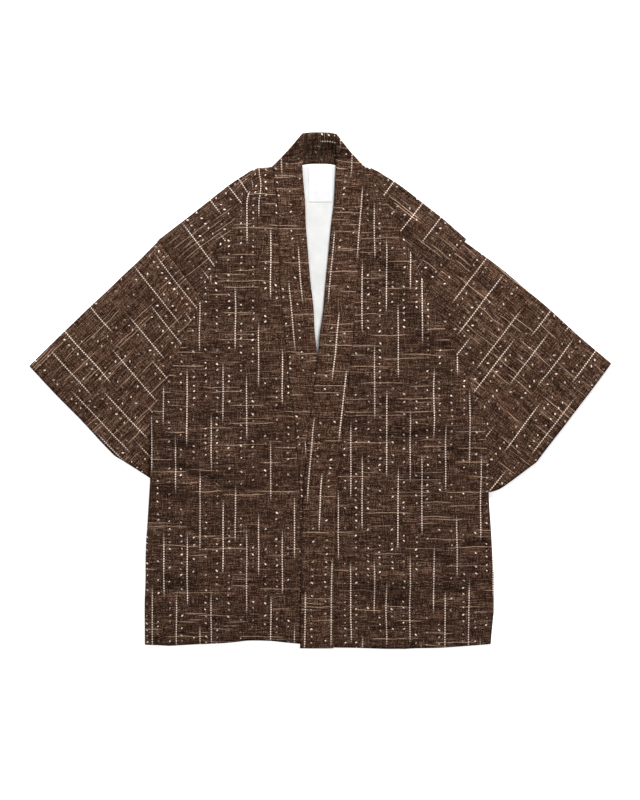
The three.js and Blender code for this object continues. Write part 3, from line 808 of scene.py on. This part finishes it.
def cloth_shell(name, middle, faces, wall, threads, material, painted_shade_shift):
    """Closed wall of cloth about a middle surface, with softened rims. `threads` is its UV map, which
    is moved back by the shift given last on the face that lies downwards at the last point; the
    weave paints shade on a face whose threads are moved below 0."""
    normals = corner_normals(middle, faces)
    edges = dict.fromkeys((a, b) for face in faces for a, b in zip(face, face[1:] + face[:1]))
    rim = [(a, b) for a, b in edges if (b, a) not in edges]
    rim_points = np.array(sorted({a for a, _ in rim}))
    outward = np.zeros_like(middle)
    for a, b in rim:
        away = np.cross(middle[b] - middle[a], normals[a])
        outward[a] += away
        outward[b] += away
    outward[rim_points] /= np.linalg.norm(outward[rim_points], axis=1, keepdims=True)
    half = np.broadcast_to(wall / 2, len(middle)).copy()
    half[rim_points] *= RIM_THINNER

    count = len(middle)
    rim_index = {point: 2 * count + i for i, point in enumerate(rim_points)}
    to_face = normals * half[:, None]
    softened = middle[rim_points] + outward[rim_points] * RIM_OUT
    points = np.vstack([middle + to_face, middle - to_face, softened])
    rings = [list(face) for face in faces]
    rings += [[count + point for point in reversed(face)] for face in faces]
    for a, b in rim:
        rings.append([b, a, rim_index[a], rim_index[b]])
        rings.append([rim_index[b], rim_index[a], count + a, count + b])

    volume = sum(
        np.dot(points[ring[0]], np.cross(points[a], points[b]))
        for ring in rings
        for a, b in zip(ring[1:], ring[2:])
    )
    if volume < 0:
        rings = [ring[::-1] for ring in rings]

    mesh = bpy.data.meshes.new(name)
    mesh.from_pydata(points.tolist(), [], rings)
    sides = [threads, threads - (painted_shade_shift, 0)]
    if normals[-1][2] < 0:
        sides.reverse()
    uv_of = np.vstack([*sides, threads[rim_points]])
    layer = mesh.uv_layers.new(name="threads")
    corners = np.zeros(len(mesh.loops), np.int32)
    mesh.loops.foreach_get("vertex_index", corners)
    layer.data.foreach_set("uv", uv_of[corners].astype(np.float32).ravel())
    mesh.polygons.foreach_set("use_smooth", np.ones(len(mesh.polygons), bool))
    mesh.materials.append(material)
    mesh.update()
    piece = bpy.data.objects.new(name, mesh)
    bpy.context.scene.collection.objects.link(piece)
    return piece


# Shader expressions


def worked_out(operation):
    """A method of a shade that adds a Math node, with the shade as its first value."""
    return lambda shade, *others: shade.math(operation, shade, *others)


def worked_out_from(operation):
    """The same, with the shade as the second value."""
    return lambda shade, other: shade.math(operation, other, shade)


class Shade:
    """A shader socket that takes part in arithmetic."""

    def __init__(self, tree, socket):
        self.tree = tree
        self.socket = socket

    @classmethod
    def node(cls, tree, kind, settings, inputs):
        """Adds a node of a type, with its settings and then the values or links of its sockets.
        Returns its outputs."""
        made = tree.nodes.new(kind)
        for key, value in settings.items():
            if key != "stops":
                setattr(made, key, value)
                continue
            elements = made.color_ramp.elements
            while len(elements) < len(value):
                elements.new(1)
            for element, (place, colour) in zip(elements, value):
                element.position = place
                element.color = (*colour, 1)
        for key, value in inputs.items():
            if isinstance(value, Shade):
                tree.links.new(value.socket, made.inputs[key])
            else:
                made.inputs[key].default_value = value
        return [cls(tree, socket) for socket in made.outputs]

    def math(self, operation, *values):
        settings = {"operation": operation}
        return self.node(self.tree, "ShaderNodeMath", settings, dict(enumerate(values)))[0]

    __add__ = __radd__ = worked_out("ADD")
    __mul__ = __rmul__ = worked_out("MULTIPLY")
    __sub__ = worked_out("SUBTRACT")
    __rsub__ = worked_out_from("SUBTRACT")
    __truediv__ = worked_out("DIVIDE")
    __rtruediv__ = worked_out_from("DIVIDE")
    floor = worked_out("FLOOR")
    absolute = worked_out("ABSOLUTE")
    sign = worked_out("SIGN")
    cosine = worked_out("COSINE")
    power = worked_out("POWER")
    at_most = worked_out("MINIMUM")
    at_least = worked_out("MAXIMUM")

    def scaled(self, other):
        """A colour made lighter or darker by a factor."""
        inputs = {0: self, 3: other}
        return self.node(self.tree, "ShaderNodeVectorMath", {"operation": "SCALE"}, inputs)[0]

    def eased(self, low, high, to_low=0, to_high=1):
        """Eases from one value to another as this goes from low to high."""
        settings = {"interpolation_type": "SMOOTHSTEP"}
        inputs = {0: self, 1: low, 2: high, 3: to_low, 4: to_high}
        return self.node(self.tree, "ShaderNodeMapRange", settings, inputs)[0]


def linear(red, green, blue):
    """A screen colour from 0 to 255 as linear light."""
    return tuple(
        c / 12.92 if c <= 0.04045 else ((c + 0.055) / 1.055) ** 2.4
        for c in (red / 255, green / 255, blue / 255)
    )


def new_material(name, **finish):
    """A material whose shader's own sockets hold the finish. Returns it, its tree and shader."""
    material = bpy.data.materials.new(name)
    material.use_nodes = True
    tree = material.node_tree
    shader = tree.nodes["Principled BSDF"]
    for socket, value in finish.items():
        shader.inputs[socket.replace("_", " ")].default_value = value
    return material, tree, shader


def thread_coordinates(tree):
    """Millimetres across the threads of the warp, and along them."""
    uv = Shade.node(tree, "ShaderNodeUVMap", {"uv_map": "threads"}, {})[0]
    across, along, _ = Shade.node(tree, "ShaderNodeSeparateXYZ", {}, {0: uv})
    return across / MM, along / MM


def vector(x, y, z):
    return Shade.node(x.tree, "ShaderNodeCombineXYZ", {}, {0: x, 1: y, 2: z})[0]


def grain(u, v, size_u, size_v, detail=2.0, roughness=0.5, layer=0.0):
    """Noise from about 0 to 1 with features of a size in millimetres."""
    place = vector(u / size_u, v / size_v, layer)
    inputs = {"Vector": place, "Scale": 1.0, "Detail": detail, "Roughness": roughness}
    return Shade.node(u.tree, "ShaderNodeTexNoise", {}, inputs)[0]


def chances(x, y, layer):
    """Three even chances from 0 to 1 for each whole x and y."""
    inputs = {"Vector": vector(x, y, layer)}
    white = Shade.node(x.tree, "ShaderNodeTexWhiteNoise", {"noise_dimensions": "3D"}, inputs)
    return Shade.node(x.tree, "ShaderNodeSeparateColor", {}, {0: white[1]})


def mixed(factor, first, second):
    """The first colour turned into the second one by a factor."""
    values = [value if isinstance(value, Shade) else (*value, 1) for value in (first, second)]
    inputs = {0: factor, 6: values[0], 7: values[1]}
    return Shade.node(factor.tree, "ShaderNodeMix", {"data_type": "RGBA"}, inputs)[2]


def dress(tree, shader, colour, height, strength, distance):
    """Gives a material its colour and the fine relief of its threads."""
    inputs = {"Strength": strength, "Distance": distance, "Height": height}
    bump = Shade.node(tree, "ShaderNodeBump", {}, inputs)[0]
    tree.links.new(colour.socket, shader.inputs["Base Color"])
    tree.links.new(bump.socket, shader.inputs["Normal"])


# Brown slub weave with cream warp dashes and neps

# Sizes are millimetres of cloth, and a pair of sizes is across the warp and along it. Other pairs
# are the values between which something eases or varies.

FULL_TURN = 2 * math.pi

DASH_COLUMN = 19.5
COLUMN_STRAYS = 1.6
DASH_HALF = 0.84
DASH_SOFT = 0.35
DASH_PITCH = 4.0
DASH_EDGES = (-0.35, 0.45)
BETWEEN_DASHES = 0.12
FAINTEST_DASH = 0.7
DASH_REPEAT = 290.0
DASH_COLUMN_STEP = 0.39
DASH_COLUMN_STRAYS = 0.25
DASH_STRETCH = dict(latest=0.22, shortest=0.34, longer=0.20, fades_in=0.06, fades_out=0.09)

NEP_PITCH = 11.0
NEP_COLUMN_STRAYS = 3.0
NEP_STRAYS_ACROSS = 1.6
NEP_STRAYS_ALONG = 3.5
NEP_SIZE = 1.4
NEP_WIDTH = 1.25
NEP_SIZES = (0.75, 1.2)
NEP_SLANT = 0.45
NEP_EDGE = (1.15, 0.55)
NEP_TONES = (0.3, 1.05)
NEP_RUN = 85.0
NEP_RUN_APART = 7.7
NEP_RUN_SPREAD = 1.9
NEP_KEPT = (0.38, 0.80)

SLUB_ROW = 5.5
SLUB_PLACES = (0.2, 0.8)
SLUB_HALF = 0.42
SLUB_SOFT = 0.5
SLUB_WAVE = 5.0
SLUB_WAVE_SIZE = (34.0, 60.0)
SLUB_REPEAT = 120.0
SLUB_ROW_STRAYS = 9.0
SLUB_STRETCH = dict(latest=0.35, shortest=0.30, longer=0.45, fades_in=0.08, fades_out=0.12)
SLUB_CLUSTERS = 0.9
SLUB_KEPT = (0.56, 0.86)
SLUB_BREAK_SIZE = (5.0, 4.0)
SLUB_BREAKS = (0.30, 0.55, 0.5, 1.0)
SLUB_COVERS = 0.95

YARN_GRAINS = {
    "streaks": dict(size_u=20.0, size_v=2.0, roughness=0.6),
    "ends": dict(size_u=2.2, size_v=16.0, layer=1.0),
    "bars": dict(size_u=70.0, size_v=6.5, layer=2.5),
    "patches": dict(size_u=60.0, size_v=38.0, layer=5.0),
    "speckle": dict(size_u=2.0, size_v=1.7, detail=1.5, layer=8.0),
}
YARN_TONE = 0.47
YARN_TONE_SPREADS = dict(streaks=1.2, ends=0.75, bars=0.38, speckle=1.4)
YARN_STOPS = [(0.15, linear(10, 2, 0)), (0.48, linear(53, 31, 19)), (1.0, linear(132, 106, 88))]
YARN_RED = linear(68, 38, 29)
YARN_OLIVE = linear(58, 43, 25)
RED_PATCHES = (0.52, 0.74)
OLIVE_PATCHES = (0.46, 0.26)
PATCH_STRENGTH = 0.22
CREAM = linear(255, 234, 217)
TAN = linear(182, 152, 130)
SHEEN = linear(206, 180, 160)
RIB_PITCH = 1.5
YARN_RISES = dict(streaks=0.9, ends=0.35, rib=0.18, speckle=0.2, neps=1.2, dashes=0.6, slubs=0.5)

# Painted light: cloth cut from beyond here, the sleeves' and the bands', is made a little brighter
# than the body's, standing in for the light these pieces catch. Painted shade: a face whose threads
# lie before 0, the inside of a band seen at the back of the neck, is made darker, standing in for
# the shade it lies in.
PAINTED_LIGHT_FROM = 10000.0
PAINTED_LIGHT = 1.18
PAINTED_SHADE = 0.9


def soft_line(across, half, soft):
    """A line of a half width, with edges soft by a share of it."""
    return across.eased(half * (1 + soft), half * (1 - soft))


def stretch_shown(share, start, length, sizes):
    """Shows one stretch of each repeat, fading at both ends. Sizes are shares of the repeat."""
    begins = start * sizes["latest"]
    ends = begins + sizes["shortest"] + length * sizes["longer"]
    fading_in = share.eased(begins, begins + sizes["fades_in"])
    return fading_in * (1 - share.eased(ends - sizes["fades_out"], ends))


def warp_dashes(u, v):
    """Broken cream warp lines: stretches of short dashes, each column starting elsewhere."""
    column = (u / DASH_COLUMN + 0.5).floor()
    phase, lean, _ = chances(column, 0.0, layer=3.0)
    across = (u - column * DASH_COLUMN + (lean - 0.5) * COLUMN_STRAYS).absolute()
    along = v / DASH_REPEAT + column * DASH_COLUMN_STEP + phase * DASH_COLUMN_STRAYS
    stretch = along.floor()
    start, length, strength = chances(column, stretch, layer=5.0)
    shown = stretch_shown(along - stretch, start, length, DASH_STRETCH)
    dash = (v * (FULL_TURN / DASH_PITCH)).cosine().eased(*DASH_EDGES, BETWEEN_DASHES, 1.0)
    return soft_line(across, DASH_HALF, DASH_SOFT) * shown * dash * lerp(FAINTEST_DASH, 1, strength)


def neps(u, v):
    """Short slanting cream flecks in columns midway between the dashes, strong in places."""
    column = (u / DASH_COLUMN).floor()
    phase, lean, _ = chances(column, 0.0, layer=7.0)
    along = v / NEP_PITCH + phase * NEP_COLUMN_STRAYS
    row = along.floor()
    strength, shift, tilt = chances(column, row, layer=9.0)
    across = u - (column + 0.5) * DASH_COLUMN + (lean - 0.5) * COLUMN_STRAYS
    across = across + (shift - 0.5) * NEP_STRAYS_ACROSS
    up = (along - row - 0.5) * NEP_PITCH + (tilt - 0.5) * NEP_STRAYS_ALONG
    slanted = (up - across * (tilt - 0.5).sign() * NEP_SLANT) / NEP_SIZE
    far = ((across / (NEP_SIZE * NEP_WIDTH)).power(2) + slanted.power(2)).power(0.5)
    size, bright, _ = chances(column, row, layer=10.0)
    fleck = (far / lerp(*NEP_SIZES, size)).eased(*NEP_EDGE)
    runs = grain(column * NEP_RUN_APART, v, 1.0, NEP_RUN, detail=0.0, layer=2.0)
    kept = (strength + (runs - 0.5) * NEP_RUN_SPREAD).eased(*NEP_KEPT)
    return fleck * kept * lerp(*NEP_TONES, bright).at_most(1.0)


def weft_slubs(u, v, clusters):
    """Thin tan slubs along the weft, slightly wavy and in loose clusters."""
    wavy = v + (grain(u, v, *SLUB_WAVE_SIZE, detail=1.0, layer=4.0) - 0.5) * SLUB_WAVE
    row = (wavy / SLUB_ROW).floor()
    place, offset, _ = chances(row, 0.0, layer=11.0)
    across = (wavy - (row + lerp(*SLUB_PLACES, place)) * SLUB_ROW).absolute()
    along = u / SLUB_REPEAT + offset * SLUB_ROW_STRAYS
    stretch = along.floor()
    chance, start, length = chances(row, stretch, layer=13.0)
    shown = stretch_shown(along - stretch, start, length, SLUB_STRETCH)
    kept = (chance + (clusters - 0.5) * SLUB_CLUSTERS).eased(*SLUB_KEPT)
    broken = grain(u, v, *SLUB_BREAK_SIZE, detail=1.0, layer=6.0).eased(*SLUB_BREAKS)
    return soft_line(across, SLUB_HALF, SLUB_SOFT) * shown * kept * broken


def make_weave():
    material, tree, shader = new_material(
        "brown_slub_weave",
        Roughness=0.92,
        Sheen_Weight=0.03,
        Sheen_Roughness=0.5,
        Sheen_Tint=(*SHEEN, 1),
        Specular_IOR_Level=0.12,
    )
    u, v = thread_coordinates(tree)
    parts = {name: grain(u, v, **sizes) for name, sizes in YARN_GRAINS.items()}
    tone = YARN_TONE + sum((parts[name] - 0.5) * spread for name, spread in YARN_TONE_SPREADS.items())
    colour = Shade.node(tree, "ShaderNodeValToRGB", {"stops": YARN_STOPS}, {0: tone})[0]
    for edges, tint in ((RED_PATCHES, YARN_RED), (OLIVE_PATCHES, YARN_OLIVE)):
        colour = mixed(parts["patches"].eased(*edges) * PATCH_STRENGTH, colour, tint)
    # Painted light on the sleeves and bands, and painted shade on the inside face of the bands
    painted_light = u.eased(PAINTED_LIGHT_FROM - 1, PAINTED_LIGHT_FROM + 1, 1.0, PAINTED_LIGHT)
    colour = colour.scaled(painted_light * u.eased(-1, 1, PAINTED_SHADE, 1.0))

    parts["rib"] = (v * (FULL_TURN / RIB_PITCH)).cosine() * 0.5 + 0.5
    parts["dashes"] = warp_dashes(u, v)
    parts["neps"] = neps(u, v)
    parts["slubs"] = weft_slubs(u, v, parts["bars"])
    colour = mixed(parts["slubs"] * SLUB_COVERS, colour, TAN)
    colour = mixed(parts["dashes"].at_least(parts["neps"]), colour, CREAM)
    height = sum(parts[name] * rise for name, rise in YARN_RISES.items())
    dress(tree, shader, colour, height, strength=0.55, distance=0.5 * MM)
    return material


# Fine plain weave of the lining and the label

PLAIN_UNEVEN = dict(size_u=3.0, size_v=9.0, detail=3.0)
# Broad patches of painted shade, standing in for the shade of soft creases
PLAIN_CREASE_SHADE = dict(size_u=24.0, size_v=34.0, layer=3.0)
PLAIN_THREAD_TONE = 0.12
PLAIN_UNEVEN_TONE = 0.5
PLAIN_CREASE_SHADE_TONE = 1.4


def make_plain_weave(name, colour, shade, thread, **finish):
    """Plain weave in one pale colour, with painted shade of faint creases in its tone."""
    material, tree, shader = new_material(name, **finish)
    u, v = thread_coordinates(tree)
    over = (u * (FULL_TURN / thread)).cosine() * (v * (FULL_TURN / thread)).cosine()
    uneven = grain(u, v, **PLAIN_UNEVEN)
    # Painted shade of soft creases, in broad patches of tone
    crease_shade = grain(u, v, **PLAIN_CREASE_SHADE)
    tone = over * PLAIN_THREAD_TONE + (uneven - 0.5) * PLAIN_UNEVEN_TONE
    tone = tone + (crease_shade - 0.5) * PLAIN_CREASE_SHADE_TONE
    surface = mixed(tone.eased(-0.5, 0.5), shade, colour)
    dress(tree, shader, surface, over * 0.5 + uneven, strength=0.35, distance=0.2 * MM)
    return material


materials = {
    "brown_weave": make_weave(),
    "white_lining": make_plain_weave(
        "white_lining", linear(222, 222, 220), linear(207, 207, 206), 0.8, Roughness=0.75, Sheen_Weight=0.1
    ),
    "white_tape": make_plain_weave(
        "white_tape", linear(228, 228, 228), linear(221, 221, 221), 0.6, Roughness=0.5, Sheen_Weight=0.05
    ),
}


# Pieces

# Where each piece was cut from the bolt, in metres across it and along it
CLOTH_OFFSETS = {
    "front_right": (3.0, 2.0),
    "front_left": (5.0, 1.0),
    "back_right": (7.0, 3.0),
    "back_left": (9.0, 2.5),
    "sleeve_right": (11.0, 1.5),
    "sleeve_left": (13.0, 2.2),
    "collar_right": (15.0, 3.1),
    "collar_left": (17.0, 1.3),
}
# Moves the threads of a band's inner face below 0, where the weave paints shade on it
PAINTED_SHADE_SHIFT = 20.0


def make_cloth(name, node, slot, cut, middle, wall, threads, painted_shade_shift=0.0):
    """One piece of cloth: its shell, and what it rides on and stands for."""
    points, faces = cut
    piece = cloth_shell(name, middle, faces, wall, threads, materials[slot], painted_shade_shift)
    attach(piece, "root")
    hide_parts(node)


def make_brown_piece(node, cut, surface, wall, across=0, painted_shade_shift=0.0):
    """A piece of the weave. `across` is the column of its cut that runs across the warp."""
    points = cut[0]
    threads = points[:, [across, 1 - across]] + CLOTH_OFFSETS[node]
    middle = surface(*points.T)
    name = f"{node}_cloth"
    make_cloth(name, node, "brown_weave", cut, middle, wall, threads, painted_shade_shift)


def make_white_piece(name, node, slot, cut, lies_at, wall):
    points = cut[0]
    middle = np.column_stack([points, np.full(len(points), lies_at)])
    make_cloth(name, node, slot, cut, middle, wall, points)


def hem_wall(side, points):
    from_hem = points[:, 1] - hem_at(side, points[:, 0])
    return lerp(HEM_CLOTH, SHOWN_CLOTH, smoothstep(from_hem, *HEM_EASES))


def make_side(side):
    name = side["name"]
    back, front, sleeve = f"back_{name}", f"front_{name}", f"sleeve_{name}"
    back_cut = panel_cut(side, lambda up: np.full_like(up, GAP / 2), **BACK_CUT)
    front_cut = panel_cut(side, lambda up: band_edge(side, "outer", up) + GAP, **FRONT_CUT)
    front_wall = hem_wall(side, front_cut[0])
    make_brown_piece(back, back_cut, back_surface(side), CLOTH)
    make_brown_piece(front, front_cut, front_surface(side), front_wall)
    make_brown_piece(sleeve, sleeve_cut(side), sleeve_surface(side), SHOWN_CLOTH)
    cut, band = band_cut(side), band_surface(side)
    # The band's inner face, seen at the back of the neck, gets painted shade
    make_brown_piece(f"collar_{name}", cut, band, BAND, across=1, painted_shade_shift=PAINTED_SHADE_SHIFT)


def make_lining():
    def top_line(x):
        return NECK_UP - GAP - np.where(x < 0, neck_dip(RIGHT, -x), neck_dip(LEFT, x))

    cut = patch_cut(top_line, LINING_LOW_UP, LINING_TOP_HALF, LINING_LOW_HALF, *LINING_DIVISIONS)
    lies_at = LAYER + LINING / 2
    make_white_piece("back_lining_cloth", "back_lining", "white_lining", cut, lies_at, LINING)


def make_label():
    half = LABEL_WIDTH / 2
    low_up = LABEL_TOP_UP - LABEL_HEIGHT
    cut = patch_cut(lambda out: np.full_like(out, LABEL_TOP_UP), low_up, half, half, *LABEL_DIVISIONS)
    lies_at = LAYER + LINING + LABEL_LIES
    make_white_piece("label_tape", "label", "white_tape", cut, lies_at, LABEL_TAPE)


make_side(RIGHT)
make_side(LEFT)
make_lining()
make_label()


# Floor, lights and camera

PHOTO_HEIGHT = 800
METRES_PER_PIXEL = 0.00165
PHOTO_CENTRE = (0.0, -0.014)
SENSOR = 36.0
LENS = 60.0
FLOOR_SIZE = 8.0
FLOOR_UP = -0.3 * MM
FLOOR_GREY = (0.93, 0.93, 0.93, 1)
WHITE = (1, 1, 1, 1)
FLOOR_GLOW = 0.62
STUDIO_LIGHT = 0.36

bpy.ops.mesh.primitive_plane_add(size=FLOOR_SIZE, location=(0, 0, FLOOR_UP))
floor = bpy.context.object
floor.name = "floor"
floor_material, _, _ = new_material(
    "pale_floor", Roughness=0.9, Base_Color=FLOOR_GREY, Emission_Color=WHITE, Emission_Strength=FLOOR_GLOW
)
floor.data.materials.append(floor_material)

world = bpy.data.worlds.new("studio")
world.use_nodes = True
background = world.node_tree.nodes["Background"]
background.inputs["Color"].default_value = WHITE
background.inputs["Strength"].default_value = STUDIO_LIGHT
bpy.context.scene.world = world


def softbox(name, place, size, power):
    light = bpy.data.lights.new(name, "AREA")
    light.shape = "SQUARE"
    light.size = size
    light.energy = power
    lamp = bpy.data.objects.new(name, light)
    lamp.location = place
    back = lamp.location.normalized()
    lamp.rotation_euler = back.to_track_quat("Z", "Y").to_euler()
    bpy.context.scene.collection.objects.link(lamp)


softbox("key", place=(1.3, 4.0, 1.5), size=1.0, power=430)
softbox("fill", place=(-2.4, -0.6, 2.4), size=1.6, power=24)

camera_data = bpy.data.cameras.new("camera")
camera_data.sensor_width = SENSOR
camera_data.lens = LENS
camera = bpy.data.objects.new("camera", camera_data)
camera.location = (*PHOTO_CENTRE, LENS / SENSOR * PHOTO_HEIGHT * METRES_PER_PIXEL)
bpy.context.scene.collection.objects.link(camera)
bpy.context.scene.camera = camera
bpy.context.scene.view_settings.view_transform = "Standard"
